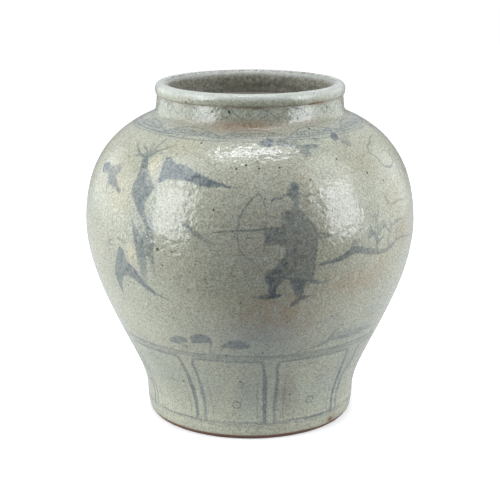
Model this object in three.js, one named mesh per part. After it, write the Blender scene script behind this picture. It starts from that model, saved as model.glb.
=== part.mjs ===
// A wheel-thrown storage jar in glazed stoneware, with a swelling shoulder, a low neck and a rolled lip.
//
// Such a jar is too big to throw in one go. A base disc, a lower bowl, an upper bowl turned upside down and
// a neck are thrown apart, left to stiffen, and luted: each edge is scored, wetted with slip and pressed
// home, and a coil of soft clay is smoothed over the seam on the inside. Glazing then hides the seams.
//
// Units are millimetres and +Z is up. The origin is the centre of the foot, on the surface that the jar
// stands on, and the main scene of its painting faces -Y.

import * as THREE from "three";

// Heights of the outside, each measured from the end of the one before it
const FOOT_HEIGHT = 20; // the upright part above the ground
const FLARE_HEIGHT = 158; // up to the widest place
const SHOULDER_HEIGHT = 94; // up to the root of the neck
const NECK_FILLET_HEIGHT = 7.5; // the hollow curve at the root of the neck
const COLLAR_HEIGHT = 10; // the straight part of the neck
const LIP_HEIGHT = 10.5;

// Radii, and widths that are added to them
const WAIST_RADIUS = 94.5; // of the outside, where the foot ends and the flare starts
const BELLY_RADIUS = 147; // of the outside, at the widest place
const MOUTH_RADIUS = 72.8; // of the opening
const NECK_WALL = 9.2;
const NECK_FILLET_WIDTH = 6;
const LIP_OVERHANG = 1.7; // of the lip beyond the neck
const LIP_OUTER_ROUND = 5;
const LIP_INNER_ROUND = 4;

// How far each curve of the side runs straight on before it bends, which sets how full the jar looks
const FLARE_LOW_PULL = 34;
const FLARE_HIGH_PULL = 64;
const SHOULDER_LOW_PULL = 41;
const SHOULDER_HIGH_PULL = 48;
const SHOULDER_SLOPE = THREE.MathUtils.degToRad(22); // of the shoulder at the root of the neck

// Foot and base
const FOOT_DRAW_IN = 1.7; // of the foot's side, from its top to the lower edge of the glaze
const FOOT_BEVEL_WIDTH = 1.7; // of the bare, turned edge
const FOOT_BEVEL_HEIGHT = 1.8;
const GLAZE_THICKNESS = 0.7; // the step where the glaze starts above the bare edge
const RECESS_DEPTH = 4; // of the hollow underneath, inside the foot ring
const BASE_LEDGE = 5.5; // of the foot ring under the edge of the base disc
const BASE_THICKNESS = 9;

// Walls, square to the side
const LOWER_WALL = 9;
const BELLY_WALL = 7.5;
const SHOULDER_WALL = 8.5;
const MOUTH_ROUND = 5; // of the inside, where the shoulder turns up into the neck

// Luting coils
const SLIP_GAP = 0.3; // between a piece and the wall that it is pressed against
const BASE_COIL = 7; // both legs of the coil in the corner of the base
const BELLY_COIL_HEIGHT = 16;
const BELLY_COIL_DEPTH = 3.2;
const NECK_COIL_HEIGHT = 9;
const NECK_COIL_DEPTH = 2;

// How finely the curves are cut
const SIDES = 64;
const FLARE_STEPS = 12;
const SHOULDER_STEPS = 12;
const INSIDE_STEPS = 8;
const SMALL_CURVE_STEPS = 3;
const HALF_FILLET_STEPS = 2;

// Levels and radii that follow from the sizes above
const WAIST_Z = FOOT_HEIGHT;
const BELLY_Z = WAIST_Z + FLARE_HEIGHT;
const NECK_ROOT_Z = BELLY_Z + SHOULDER_HEIGHT;
const COLLAR_Z = NECK_ROOT_Z + NECK_FILLET_HEIGHT;
const LIP_FOOT_Z = COLLAR_Z + COLLAR_HEIGHT;
const RIM_Z = LIP_FOOT_Z + LIP_HEIGHT;
const BASE_TOP_Z = RECESS_DEPTH + BASE_THICKNESS;
const NECK_RADIUS = MOUTH_RADIUS + NECK_WALL;
const INNER_WAIST_RADIUS = WAIST_RADIUS - LOWER_WALL;

const point = (radius, z) => new THREE.Vector2(radius, z);

// The outside of the jar, as curves in the half plane of radius and height

const glazeEdge = point(WAIST_RADIUS - FOOT_DRAW_IN, FOOT_BEVEL_HEIGHT + GLAZE_THICKNESS);

const footCurve = new THREE.QuadraticBezierCurve(
  glazeEdge,
  point(WAIST_RADIUS, WAIST_Z / 2),
  point(WAIST_RADIUS, WAIST_Z),
);

const flareCurve = new THREE.CubicBezierCurve(
  point(WAIST_RADIUS, WAIST_Z),
  point(WAIST_RADIUS, WAIST_Z + FLARE_LOW_PULL),
  point(BELLY_RADIUS, BELLY_Z - FLARE_HIGH_PULL),
  point(BELLY_RADIUS, BELLY_Z),
);

const neckRoot = point(NECK_RADIUS + NECK_FILLET_WIDTH, NECK_ROOT_Z);
const downShoulder = point(Math.cos(SHOULDER_SLOPE), -Math.sin(SHOULDER_SLOPE));

const shoulderCurve = new THREE.CubicBezierCurve(
  point(BELLY_RADIUS, BELLY_Z),
  point(BELLY_RADIUS, BELLY_Z + SHOULDER_LOW_PULL),
  neckRoot.clone().addScaledVector(downShoulder, SHOULDER_HIGH_PULL),
  neckRoot,
);

// The fillet leaves the shoulder along its slope and ends upright, on the neck. The neck is luted on at its
// middle, so its lower half belongs to the upper bowl.
const filletPoints = new THREE.QuadraticBezierCurve(
  neckRoot,
  point(NECK_RADIUS, NECK_ROOT_Z + NECK_FILLET_WIDTH * Math.tan(SHOULDER_SLOPE)),
  point(NECK_RADIUS, COLLAR_Z),
).getPoints(2 * HALF_FILLET_STEPS);
const NECK_SEAM_Z = filletPoints[HALF_FILLET_STEPS].y;

// The inside of a wall whose outside is the curve. Each end and its handle move in together, square to the
// side, by the wall's thickness at that end.
function insideOf(curve, startWall, endWall) {
  const { v0, v1, v2, v3 } = curve;
  const inward = (from, to, wall) => {
    const along = to.clone().sub(from).normalize();
    return point(-along.y, along.x).multiplyScalar(wall);
  };
  const startMove = inward(v0, v1, startWall);
  const endMove = inward(v2, v3, endWall);
  return new THREE.CubicBezierCurve(
    v0.clone().add(startMove),
    v1.clone().add(startMove),
    v2.clone().add(endMove),
    v3.clone().add(endMove),
  );
}

const lowerInside = insideOf(flareCurve, LOWER_WALL, BELLY_WALL).getPoints(INSIDE_STEPS);

// Past the shoulder's inner curve, the inside runs on up the slope, and a round turns it into the mouth.
const shoulderInside = insideOf(shoulderCurve, BELLY_WALL, SHOULDER_WALL);
const slopeHeightAt = (radius) =>
  shoulderInside.v3.y + (shoulderInside.v3.x - radius) * Math.tan(SHOULDER_SLOPE);
const mouthCorner = point(MOUTH_RADIUS, slopeHeightAt(MOUTH_RADIUS));
const mouthRound = new THREE.QuadraticBezierCurve(
  point(MOUTH_RADIUS + MOUTH_ROUND, slopeHeightAt(MOUTH_RADIUS + MOUTH_ROUND)),
  mouthCorner,
  point(MOUTH_RADIUS, Math.min(mouthCorner.y + MOUTH_ROUND, NECK_SEAM_Z)),
);
const upperInside = [
  ...shoulderInside.getPoints(INSIDE_STEPS),
  ...mouthRound.getPoints(SMALL_CURVE_STEPS),
];

// The inside of all the walls, from the base disc's ledge to the top of the mouth
const wholeInside = [
  point(INNER_WAIST_RADIUS, RECESS_DEPTH),
  ...lowerInside,
  ...upperInside.slice(1),
  point(MOUTH_RADIUS, RIM_Z),
];

// The inside's radius at a height, on the straight faces between its points
function insideRadiusAt(z) {
  const above = wholeInside.findIndex((p) => p.y >= z);
  const [a, b] = [wholeInside[above - 1], wholeInside[above]];
  return THREE.MathUtils.mapLinear(z, a.y, b.y, a.x, b.x);
}

// The back of a coil that is pressed on the inside between two heights, from the bottom up
function coilBack(lowZ, highZ) {
  return [
    point(insideRadiusAt(lowZ), lowZ),
    ...wholeInside.filter((p) => p.y > lowZ && p.y < highZ),
    point(insideRadiusAt(highZ), highZ),
  ].map((p) => point(p.x - SLIP_GAP, p.y));
}

// Each outline below runs up the outside of its piece and down the inside. The last point joins the first,
// except on the base disc, where both lie on the axis.

function baseDiscOutline() {
  const radius = INNER_WAIST_RADIUS - SLIP_GAP;
  return [
    point(0, RECESS_DEPTH),
    point(radius, RECESS_DEPTH),
    point(radius, BASE_TOP_Z),
    point(0, BASE_TOP_Z),
  ];
}

// The lower bowl ends in the foot ring, whose ledge carries the base disc.
function lowerBodyOutline() {
  const bareEdge = point(glazeEdge.x - GLAZE_THICKNESS, FOOT_BEVEL_HEIGHT);
  const ringInnerRadius = INNER_WAIST_RADIUS - BASE_LEDGE;
  return [
    point(ringInnerRadius, 0),
    point(bareEdge.x - FOOT_BEVEL_WIDTH, 0),
    bareEdge,
    ...footCurve.getPoints(SMALL_CURVE_STEPS),
    ...flareCurve.getPoints(FLARE_STEPS).slice(1),
    ...lowerInside.toReversed(),
    point(INNER_WAIST_RADIUS, RECESS_DEPTH),
    point(ringInnerRadius, RECESS_DEPTH),
  ];
}

function upperBodyOutline() {
  return [
    ...shoulderCurve.getPoints(SHOULDER_STEPS),
    ...filletPoints.slice(1, HALF_FILLET_STEPS + 1),
    point(MOUTH_RADIUS, NECK_SEAM_Z),
    ...upperInside.toReversed(),
  ];
}

// The rolled lip is rounded under and over its outer edge, and over the edge of the mouth.
function neckOutline() {
  const lipWidth = NECK_WALL + LIP_OVERHANG;
  const outerRound = Math.min(LIP_OUTER_ROUND, lipWidth / 2);
  const innerRound = Math.min(LIP_INNER_ROUND, lipWidth / 2);
  const widestZ = RIM_Z - LIP_HEIGHT / 2;
  const lipRadius = NECK_RADIUS + LIP_OVERHANG;
  const round = (x, y, across, up, from, to) =>
    new THREE.EllipseCurve(x, y, across, up, from, to).getPoints(SMALL_CURVE_STEPS);
  return [
    ...filletPoints.slice(HALF_FILLET_STEPS),
    ...round(NECK_RADIUS, widestZ, LIP_OVERHANG, LIP_HEIGHT / 2, -Math.PI / 2, 0),
    ...round(lipRadius - outerRound, widestZ, outerRound, LIP_HEIGHT / 2, 0, Math.PI / 2).slice(1),
    ...round(MOUTH_RADIUS + innerRound, RIM_Z - innerRound, innerRound, innerRound, Math.PI / 2, Math.PI),
    point(MOUTH_RADIUS, NECK_SEAM_Z),
  ];
}

// The coil in the corner of the base is wiped hollow with a finger.
function baseCoilOutline() {
  const back = coilBack(BASE_TOP_Z, BASE_TOP_Z + BASE_COIL);
  const corner = back[0];
  const wiped = new THREE.QuadraticBezierCurve(
    back.at(-1),
    point(corner.x - BASE_COIL / 4, corner.y + BASE_COIL / 4),
    point(corner.x - BASE_COIL, corner.y),
  );
  return [...back, ...wiped.getPoints(SMALL_CURVE_STEPS).slice(1)];
}

// A coil smoothed over a seam in the wall: its back lies on the wall, and its face is half an ellipse.
function seamCoilOutline(seamZ, height, depth) {
  const back = coilBack(seamZ - height / 2, seamZ + height / 2);
  const halfEllipse = new THREE.EllipseCurve(0, 0, depth, height / 2, Math.PI / 2, (3 * Math.PI) / 2)
    .getPoints(2 * SMALL_CURVE_STEPS)
    .slice(1, -1);
  const face = halfEllipse.map((p) =>
    point(insideRadiusAt(seamZ + p.y) - SLIP_GAP + p.x, seamZ + p.y),
  );
  return [...back, ...face];
}

// Stoneware: glazed outside, brushed with thin slip inside, bare underneath
const glazedClay = { color: 0xaeb2a2, roughness: 0.3, metalness: 0 };
const slippedClay = { color: 0x8d8878, roughness: 0.7, metalness: 0 };
const bareClay = { color: 0xa9825f, roughness: 0.85, metalness: 0 };

// Turns an outline round the Z axis. A lathe turns round +Y, so what it makes is stood up.
function turned(name, outline, finish) {
  const reachesAxis = outline[0].x === 0;
  const closed = reachesAxis ? outline : [...outline, outline[0].clone()];
  const geometry = new THREE.LatheGeometry(closed, SIDES).rotateX(Math.PI / 2);
  const mesh = new THREE.Mesh(geometry, new THREE.MeshStandardMaterial(finish));
  mesh.name = name;
  return mesh;
}

const bellyCoilOutline = () => seamCoilOutline(BELLY_Z, BELLY_COIL_HEIGHT, BELLY_COIL_DEPTH);
const neckCoilOutline = () => seamCoilOutline(NECK_SEAM_Z, NECK_COIL_HEIGHT, NECK_COIL_DEPTH);

const jar = new THREE.Group();
jar.add(
  turned("lower_body", lowerBodyOutline(), glazedClay),
  turned("base_disc", baseDiscOutline(), bareClay),
  turned("base_luting_coil", baseCoilOutline(), slippedClay),
  turned("upper_body", upperBodyOutline(), glazedClay),
  turned("belly_luting_coil", bellyCoilOutline(), slippedClay),
  turned("neck", neckOutline(), glazedClay),
  turned("neck_luting_coil", neckCoilOutline(), slippedClay),
);

export default jar;
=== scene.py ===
"""A wheel-thrown stoneware storage jar, painted in cobalt under a grey-green celadon glaze.

The jar is dressed in the order in which it is made: the lower bowl, its base, the upper bowl and the neck are
turned and luted, the outside is painted, and glaze covers all of it down to the foot.

Meshes are in metres. The jar's sizes are written in millimetres, profiles as (radius, height), and places on
its side as (angle, height), with the angle in degrees from the front, -Y, towards +X.
"""

import math

import bpy
import numpy as np
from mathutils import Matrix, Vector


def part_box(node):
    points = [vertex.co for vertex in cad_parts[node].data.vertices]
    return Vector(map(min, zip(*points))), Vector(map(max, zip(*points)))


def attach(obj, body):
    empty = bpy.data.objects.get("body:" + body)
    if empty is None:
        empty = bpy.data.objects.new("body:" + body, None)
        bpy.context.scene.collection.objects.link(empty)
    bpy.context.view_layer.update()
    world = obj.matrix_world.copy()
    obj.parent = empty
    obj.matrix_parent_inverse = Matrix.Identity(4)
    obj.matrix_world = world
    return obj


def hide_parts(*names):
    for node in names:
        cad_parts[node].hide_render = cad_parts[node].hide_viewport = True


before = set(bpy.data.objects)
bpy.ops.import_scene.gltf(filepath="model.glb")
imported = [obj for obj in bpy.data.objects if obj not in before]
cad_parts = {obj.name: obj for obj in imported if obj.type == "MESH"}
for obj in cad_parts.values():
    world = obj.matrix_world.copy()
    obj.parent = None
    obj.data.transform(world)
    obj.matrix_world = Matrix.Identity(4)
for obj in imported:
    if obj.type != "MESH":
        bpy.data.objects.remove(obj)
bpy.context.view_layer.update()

# The lower bowl
# The lower half, thrown upright in grey stoneware up to the widest place, then turned over when leather-hard
# to have its foot ring cut. The ring's edge is wiped free of glaze, or it would stick in the kiln.

MM = 0.001
BELLY_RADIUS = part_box("lower_body")[1].x / MM
BELLY_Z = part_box("lower_body")[1].z / MM
WAIST_RADIUS = 94.5
WAIST_Z = 20
FLARE_LOW_PULL = 34
FLARE_HIGH_PULL = 64
FOOT_DRAW_IN = 1.7
FOOT_BEVEL = 1.7
BARE_EDGE_Z = 2.8
GLAZE_THICKNESS = 0.7
GLAZE_ROLL = 0.6  # how far the glaze's lower edge rolls out over the bare clay
GROUND_ROUND = 0.6  # of the ring's edge, where it leaves the ground
RECESS_DEPTH = 4
BASE_LEDGE = 5.5
LOWER_WALL = 9
BELLY_WALL = 7.5
COLUMNS = 528  # upright rows of faces round the jar
FRONT_CROWDING = 0.45  # how much closer the columns stand at the painted front than on average
OUTSIDE_STEP = 1.3  # between the level rows of faces
INSIDE_STEP = 8
FLAT_STEP = 3
EDGE_STEP = 0.25
SHARP_EDGE = 35  # degrees, from which an edge isn't smoothed over
SPIRAL_PITCH = 7.4  # of the throwing marks outside, and how far they stand out
SPIRAL_DEPTH = 0.07
INNER_PITCH = 27
INNER_DEPTH = 0.4
FADE_Z = 4  # where the unevenness starts, and over how much height it grows
FADE_HEIGHT = 16
BULGES = (  # how many stand round the jar, how tall they are, and how far they stand out
    (2, 410, 0.34), (3, 230, 0.22), (4, 140, 0.14), (5, 88, 0.1),
    (9, 52, 0.06), (13, 37, 0.045), (21, 24, 0.03),
)


def bezier(*controls):
    """The Bernstein curve of 3 or 4 controls: the sum of binomial(n, k) (1 - t)^(n - k) t^k control k."""
    points, order = np.array(controls, float), len(controls) - 1
    t = np.linspace(0, 1, 201)[:, None]
    return sum(math.comb(order, k) * (1 - t) ** (order - k) * t**k * points[k] for k in range(order + 1))


def evenly(points, step):
    """Points at equal lengths along a polyline, as near to step apart as its two ends allow."""
    points = np.array(points, float)
    run = np.concatenate([[0], np.cumsum(np.hypot(*np.diff(points, axis=0).T))])
    at = np.linspace(0, run[-1], max(2, round(run[-1] / step) + 1))
    return np.column_stack([np.interp(at, run, points[:, k]) for k in (0, 1)])


def joined(*stretches):
    """One outline of several stretches, without the points where one repeats the last."""
    points = np.concatenate([np.array(s, float) for s in stretches])
    moved = np.hypot(*(points - np.roll(points, 1, axis=0)).T) > 1e-6
    return points[moved]


def unevenness(angle, height, inside):
    """How far the clay stands out, in mm. Outside, a shallow throwing spiral, the cosine of height over its
    pitch less the angle, drifts in and out over slow bulges, each a cosine of whole turns times a cosine of
    height. Inside, where nothing was turned smooth, the spiral is deeper. All of it fades out at the foot."""
    phases = np.random.default_rng(11).uniform(0, 2 * np.pi, (len(BULGES), 2))
    shift = 0
    for (turns, wave, size), (turn_phase, height_phase) in zip(BULGES, phases):
        bulge = size * np.cos(turns * angle + turn_phase)
        shift = shift + bulge * np.cos(2 * np.pi * height / wave + height_phase)
    drift = 0.55 + 0.45 * np.cos(height / 17 + 2 * angle) * np.cos(height / 41 - angle)
    shift = shift + SPIRAL_DEPTH * drift * np.cos(2 * np.pi * height / SPIRAL_PITCH - angle)
    shift = shift + inside * INNER_DEPTH * np.cos(2 * np.pi * height / INNER_PITCH - angle)
    return shift * np.clip((height - FADE_Z) / FADE_HEIGHT, 0, 1)


def new_piece(name, points, faces):
    """An object of its own for a mesh, smooth but for its sharp edges."""
    mesh = bpy.data.meshes.new(name)
    mesh.from_pydata(points, [], faces)
    mesh.shade_smooth()
    mesh.set_sharp_from_angle(angle=math.radians(SHARP_EDGE))
    piece = bpy.data.objects.new(name, mesh)
    bpy.context.scene.collection.objects.link(piece)
    return piece


def turned(name, outline, inside_from=None):
    """A closed surface of revolution. Column angles are 2 pi t - k sin(2 pi t), so that they crowd towards
    the front, and a point is (r sin a, -r cos a, z), with r the outline's radius plus the unevenness there.
    The outline runs up the outside and down the inside, which starts at row inside_from."""
    t = np.arange(COLUMNS) / COLUMNS
    angles = 2 * np.pi * t - FRONT_CROWDING * np.sin(2 * np.pi * t)
    rows = len(outline)
    inner = np.arange(rows) >= (rows if inside_from is None else inside_from)
    angle, radius = np.meshgrid(angles, outline[:, 0], indexing="ij")
    height = np.broadcast_to(outline[:, 1], angle.shape)
    wall = np.where(radius > 0, radius + unevenness(angle, height, inner[None, :]), 0)
    points = np.stack([wall * np.sin(angle), -wall * np.cos(angle), height], -1).reshape(-1, 3) * MM
    column, row = np.meshgrid(np.arange(COLUMNS), np.arange(rows), indexing="ij")
    after, above = (column + 1) % COLUMNS, (row + 1) % rows
    corners = [column * rows + row, after * rows + row, after * rows + above, column * rows + above]
    piece = new_piece(name, points, np.stack(corners, -1).reshape(-1, 4))
    places = {"angle": angle.ravel(), "height": height.ravel(), "radius": radius.ravel()}
    places["inside"] = np.broadcast_to(inner, angle.shape).ravel().astype(float)
    return piece, places


def flare(waist, belly):
    """The bowl's side, upright at its waist and again at its belly, from the one radius to the other."""
    low_pull, high_pull = WAIST_Z + FLARE_LOW_PULL, BELLY_Z - FLARE_HIGH_PULL
    return bezier((waist, WAIST_Z), (waist, low_pull), (belly, high_pull), (belly, BELLY_Z))


bare_edge = (WAIST_RADIUS - FOOT_DRAW_IN - GLAZE_THICKNESS, BARE_EDGE_Z)
glaze_edge = (WAIST_RADIUS - FOOT_DRAW_IN, BARE_EDGE_Z + GLAZE_THICKNESS)
ring_inner = WAIST_RADIUS - LOWER_WALL - BASE_LEDGE
contact = bare_edge[0] - FOOT_BEVEL
round_start = (contact - GROUND_ROUND, 0)
bevel_start = (contact + 0.4, 0.45)
foot_curve = bezier(glaze_edge, (WAIST_RADIUS, WAIST_Z / 2), (WAIST_RADIUS, WAIST_Z))
lower_inside = flare(WAIST_RADIUS - LOWER_WALL, BELLY_RADIUS - BELLY_WALL)
lower_outside = joined(
    evenly([(ring_inner, 0), round_start], FLAT_STEP),
    evenly(bezier(round_start, (contact, 0), bevel_start), EDGE_STEP),
    evenly([bevel_start, bare_edge], 2 * EDGE_STEP),
    evenly(bezier(bare_edge, (bare_edge[0] + GLAZE_ROLL, BARE_EDGE_Z), glaze_edge), GLAZE_ROLL / 2),
    evenly(foot_curve, OUTSIDE_STEP),
    evenly(flare(WAIST_RADIUS, BELLY_RADIUS), OUTSIDE_STEP),
)
lower_outline = joined(
    lower_outside,
    evenly(lower_inside[::-1], INSIDE_STEP),
    [(WAIST_RADIUS - LOWER_WALL, RECESS_DEPTH), (ring_inner, RECESS_DEPTH)],
)
lower_bowl, lower_places = turned("lower_bowl", lower_outline, len(lower_outside))
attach(lower_bowl, "root")
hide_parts("lower_body")

# The base
# A flat disc of the same clay, thrown apart, that closes the bowl and rests on the ledge in the foot ring. It
# stays bare underneath, where the fire turns it orange-brown.

SLIP_GAP = 0.3
BASE_TOP_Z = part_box("base_disc")[1].z / MM
BASE_STEP = 6
base_radius = WAIST_RADIUS - LOWER_WALL - SLIP_GAP


def linear(hex_colour):
    """An sRGB hex colour as linear RGBA: ((c + 0.055) / 1.055)^2.4, or c / 12.92 for the darkest values."""
    srgb = np.array([int(hex_colour[k : k + 2], 16) for k in (1, 3, 5)]) / 255
    rgb = np.where(srgb > 0.04045, ((srgb + 0.055) / 1.055) ** 2.4, srgb / 12.92)
    return (*rgb.tolist(), 1.0)


def add(tree, kind, inputs=None, **settings):
    """Adds a shader node with its settings and gives its outputs. An input is a value or a node's output."""
    made = tree.nodes.new("ShaderNode" + kind)
    for name, value in settings.items():
        setattr(made, name, value)
    for name, value in (inputs or {}).items():
        if isinstance(value, bpy.types.NodeSocket):
            tree.links.new(value, made.inputs[name])
        else:
            made.inputs[name].default_value = value
    return made.outputs


def empty_material(name):
    """A material with no nodes yet, and its tree."""
    material = bpy.data.materials.new(name)
    material.use_nodes = True
    material.node_tree.nodes.clear()
    return material, material.node_tree


def clay(name, fired, toasted, grit, roughness):
    """Unglazed clay: two tones in clouds 20 mm wide, crossed by darker grit about 1 mm wide, which is as fine
    as the render can show, and dry, so that it scatters light and shows a sandy bump."""
    material, tree = empty_material(name)
    place = add(tree, "TexCoord")["Object"]
    clouds = add(tree, "TexNoise", {"Vector": place, "Scale": 1 / (20 * MM), "Detail": 3})["Fac"]
    sand = add(tree, "TexNoise", {"Vector": place, "Scale": 1 / (1.1 * MM), "Detail": 2})["Fac"]
    tone = add(tree, "MapRange", {"Value": clouds, "From Min": 0.35, "From Max": 0.65})[0]
    colour = add(tree, "MixRGB", {"Fac": tone, "Color1": linear(fired), "Color2": linear(toasted)})[0]
    specks = add(tree, "MapRange", {"Value": sand, "From Min": 0.55, "From Max": 0.75})[0]
    colour = add(tree, "MixRGB", {"Fac": specks, "Color1": colour, "Color2": linear(grit)})[0]
    bump = add(tree, "Bump", {"Height": sand, "Strength": 0.8, "Distance": 0.25 * MM})[0]
    shader = {"Base Color": colour, "Roughness": roughness, "Specular IOR Level": 0.3, "Normal": bump}
    surface = add(tree, "BsdfPrincipled", shader)[0]
    add(tree, "OutputMaterial", {"Surface": surface})
    return material


def turned_on_axis(name, outline):
    """A solid of revolution whose outline starts and ends on the axis: level rings of points, r (sin a,
    -cos a), with one point at each pole and a fan of faces round it."""
    angles = 2 * np.pi * np.arange(COLUMNS // 2) / (COLUMNS // 2)
    columns, rings = len(angles), outline[1:-1]
    circle = np.stack([np.sin(angles), -np.cos(angles)], -1)
    side = [np.column_stack([r * circle, np.full(columns, z)]) for r, z in rings]
    points = np.concatenate([[[0, 0, outline[0][1]]], *side, [[0, 0, outline[-1][1]]]]) * MM
    column, row = np.meshgrid(np.arange(columns), np.arange(len(rings) - 1))
    this, after = 1 + row * columns + column, 1 + row * columns + (column + 1) % columns
    quads = np.stack([this, after, after + columns, this + columns], -1).reshape(-1, 4)
    ring = 1 + np.arange(columns)
    top = ring + (len(rings) - 1) * columns
    under = np.stack([np.zeros_like(ring), np.roll(ring, -1), ring], -1)
    over = np.stack([np.full_like(top, len(points) - 1), top, np.roll(top, -1)], -1)
    return new_piece(name, points, quads.tolist() + under.tolist() + over.tolist())


# Bare stoneware: dull and toasted orange-brown, with dark grit
bare_stoneware = clay("bare stoneware", "#a9805c", "#8d5f40", "#5b3f2d", 0.85)
base_outline = joined(
    evenly([(0, RECESS_DEPTH), (base_radius, RECESS_DEPTH)], BASE_STEP),
    evenly([(base_radius, RECESS_DEPTH), (base_radius, BASE_TOP_Z)], FLAT_STEP),
    evenly([(base_radius, BASE_TOP_Z), (0, BASE_TOP_Z)], BASE_STEP),
)
base = turned_on_axis("base", base_outline)
base.data.materials.append(bare_stoneware)
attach(base, "root")
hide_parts("base_disc")

# The base coil
# Soft clay pressed into the corner of base and wall from inside, and wiped hollow with a finger.

BASE_COIL = 7
COIL_STEP = 1.5
ROUND_STEP = 1
PROFILE_STEP = 2


def wall_inside(height):
    """The inside radius of the wall at a height, read off the wall's inner curves."""
    return np.interp(height, whole_inside[:, 1], whole_inside[:, 0])


def pressed_back(low, high):
    """The back of a coil, from the bottom up: the wall's inside less the gap."""
    heights = np.linspace(low, high, max(3, round((high - low) / COIL_STEP)))
    return np.column_stack([wall_inside(heights) - SLIP_GAP, heights])


whole_inside = joined([(WAIST_RADIUS - LOWER_WALL, RECESS_DEPTH)], evenly(lower_inside, PROFILE_STEP))
coil_back = pressed_back(BASE_TOP_Z, BASE_TOP_Z + BASE_COIL)
corner_radius, corner_z = coil_back[0]
wiped = bezier(
    coil_back[-1],
    (corner_radius - BASE_COIL / 4, corner_z + BASE_COIL / 4),
    (corner_radius - BASE_COIL, corner_z),
)
base_coil, _ = turned("base_coil", joined(coil_back, evenly(wiped, ROUND_STEP)))
# Slip wash: thin, matt and brownish grey, brushed over the inside so that it soaks up less
slip_wash = clay("slip wash", "#7f7a6d", "#6b675b", "#494339", 0.6)
base_coil.data.materials.append(slip_wash)
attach(base_coil, "root")
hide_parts("base_luting_coil")

# The upper bowl
# The shoulder, thrown as a second bowl with no bottom, turned over and luted on at the widest place. Scored
# edges and slip hold it, and scraping and glaze hide the seam.

SHOULDER_HEIGHT = 94
SHOULDER_LOW_PULL = 41
SHOULDER_HIGH_PULL = 48
SHOULDER_WALL = 8.5
NECK_FILLET = 6
NECK_FILLET_HEIGHT = 7.5
MOUTH_RADIUS = 72.8
NECK_WALL = 9.2
MOUTH_ROUND = 5
NECK_SEAM_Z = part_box("upper_body")[1].z / MM
COLLAR_LEAN = 1.0  # how much wider the collar is at its foot than under the lip
SHOULDER_STEP = 0.95  # finer than below, where the painting is coarser
SHOULDER_SLOPE = 22  # degrees, where it meets the neck
INSIDE_REACH = 20  # how far above the seam the mouth runs straight up inside the neck
slope = math.radians(SHOULDER_SLOPE)
neck_radius = MOUTH_RADIUS + NECK_WALL
neck_root = np.array([neck_radius + NECK_FILLET, BELLY_Z + SHOULDER_HEIGHT])
downhill = np.array([math.cos(slope), -math.sin(slope)])
fillet_curve = bezier(
    neck_root,
    (neck_radius + 1.5 * COLLAR_LEAN, neck_root[1] + NECK_FILLET * math.tan(slope)),
    (neck_radius + COLLAR_LEAN, neck_root[1] + NECK_FILLET_HEIGHT),
)
half_fillet = len(fillet_curve) // 2
inward = np.array([-math.sin(slope), -math.cos(slope)]) * SHOULDER_WALL


def shoulder(belly, root):
    """The bowl's side from upright at the belly's radius up to the slope at the neck's root."""
    low, high = (belly, BELLY_Z + SHOULDER_LOW_PULL), root + downhill * SHOULDER_HIGH_PULL
    return bezier((belly, BELLY_Z), low, high, root)


shoulder_inside = shoulder(BELLY_RADIUS - BELLY_WALL, neck_root + inward)


def ceiling(radius):
    """The height of the shoulder's straight inner slope at a radius."""
    return shoulder_inside[-1][1] + (shoulder_inside[-1][0] - radius) * math.tan(slope)


mouth_round = bezier(
    (MOUTH_RADIUS + MOUTH_ROUND, ceiling(MOUTH_RADIUS + MOUTH_ROUND)),
    (MOUTH_RADIUS, ceiling(MOUTH_RADIUS)),
    (MOUTH_RADIUS, ceiling(MOUTH_RADIUS) + MOUTH_ROUND),
)
upper_inside = joined(
    evenly(shoulder_inside, INSIDE_STEP),
    evenly(mouth_round, ROUND_STEP),
    [(MOUTH_RADIUS, NECK_SEAM_Z)],
)
upper_outside = joined(
    evenly(shoulder(BELLY_RADIUS, neck_root), SHOULDER_STEP),
    evenly(fillet_curve[: half_fillet + 1], ROUND_STEP),
)
whole_inside = joined(whole_inside, upper_inside, [(MOUTH_RADIUS, NECK_SEAM_Z + INSIDE_REACH)])
upper_outline = joined(upper_outside, upper_inside[::-1])
upper_bowl, upper_places = turned("upper_bowl", upper_outline, len(upper_outside))
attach(upper_bowl, "root")
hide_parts("upper_body")

# The belly coil
# A coil of soft clay smoothed over the seam of the two bowls, inside, by an arm put down through the mouth.

BELLY_COIL_HEIGHT = 16
BELLY_COIL_DEPTH = 3.2
COIL_FACE_ROWS = 12


def seam_coil(name, seam_z, height, depth):
    """A coil over a seam: its back lies on the wall, and its face stands depth times the root of 1 - u^2
    proud of it, with u from -1 to 1 up the coil."""
    back = pressed_back(seam_z - height / 2, seam_z + height / 2)
    lift = np.sin(np.linspace(np.pi / 2, -np.pi / 2, COIL_FACE_ROWS + 2)[1:-1])
    heights = seam_z + lift * height / 2
    face = np.column_stack([wall_inside(heights) - SLIP_GAP - depth * np.sqrt(1 - lift**2), heights])
    piece, _ = turned(name, joined(back, face))
    piece.data.materials.append(slip_wash)
    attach(piece, "root")
    return piece


belly_coil = seam_coil("belly_coil", BELLY_Z, BELLY_COIL_HEIGHT, BELLY_COIL_DEPTH)
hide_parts("belly_luting_coil")

# The neck
# A low collar with a rolled lip, thrown on its own and luted to the shoulder last. A finger rounds the lip
# over, which leaves a groove under it where glaze runs thin and iron shows brown, and where the glaze's
# colour is also darkened as painted shade under the lip.

RIM_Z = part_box("neck")[1].z / MM
LIP_HEIGHT = 10.5
LIP_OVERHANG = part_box("neck")[1].x / MM - neck_radius
LIP_OUTER_ROUND = 5
LIP_INNER_ROUND = 4
NECK_STEP = 0.6


def elliptic(centre, across, up, start, end):
    """A quarter of an ellipse: centre + (across cos a, up sin a), between two angles in degrees."""
    a = np.radians(np.linspace(start, end, 91))
    return np.column_stack([centre[0] + across * np.cos(a), centre[1] + up * np.sin(a)])


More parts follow.
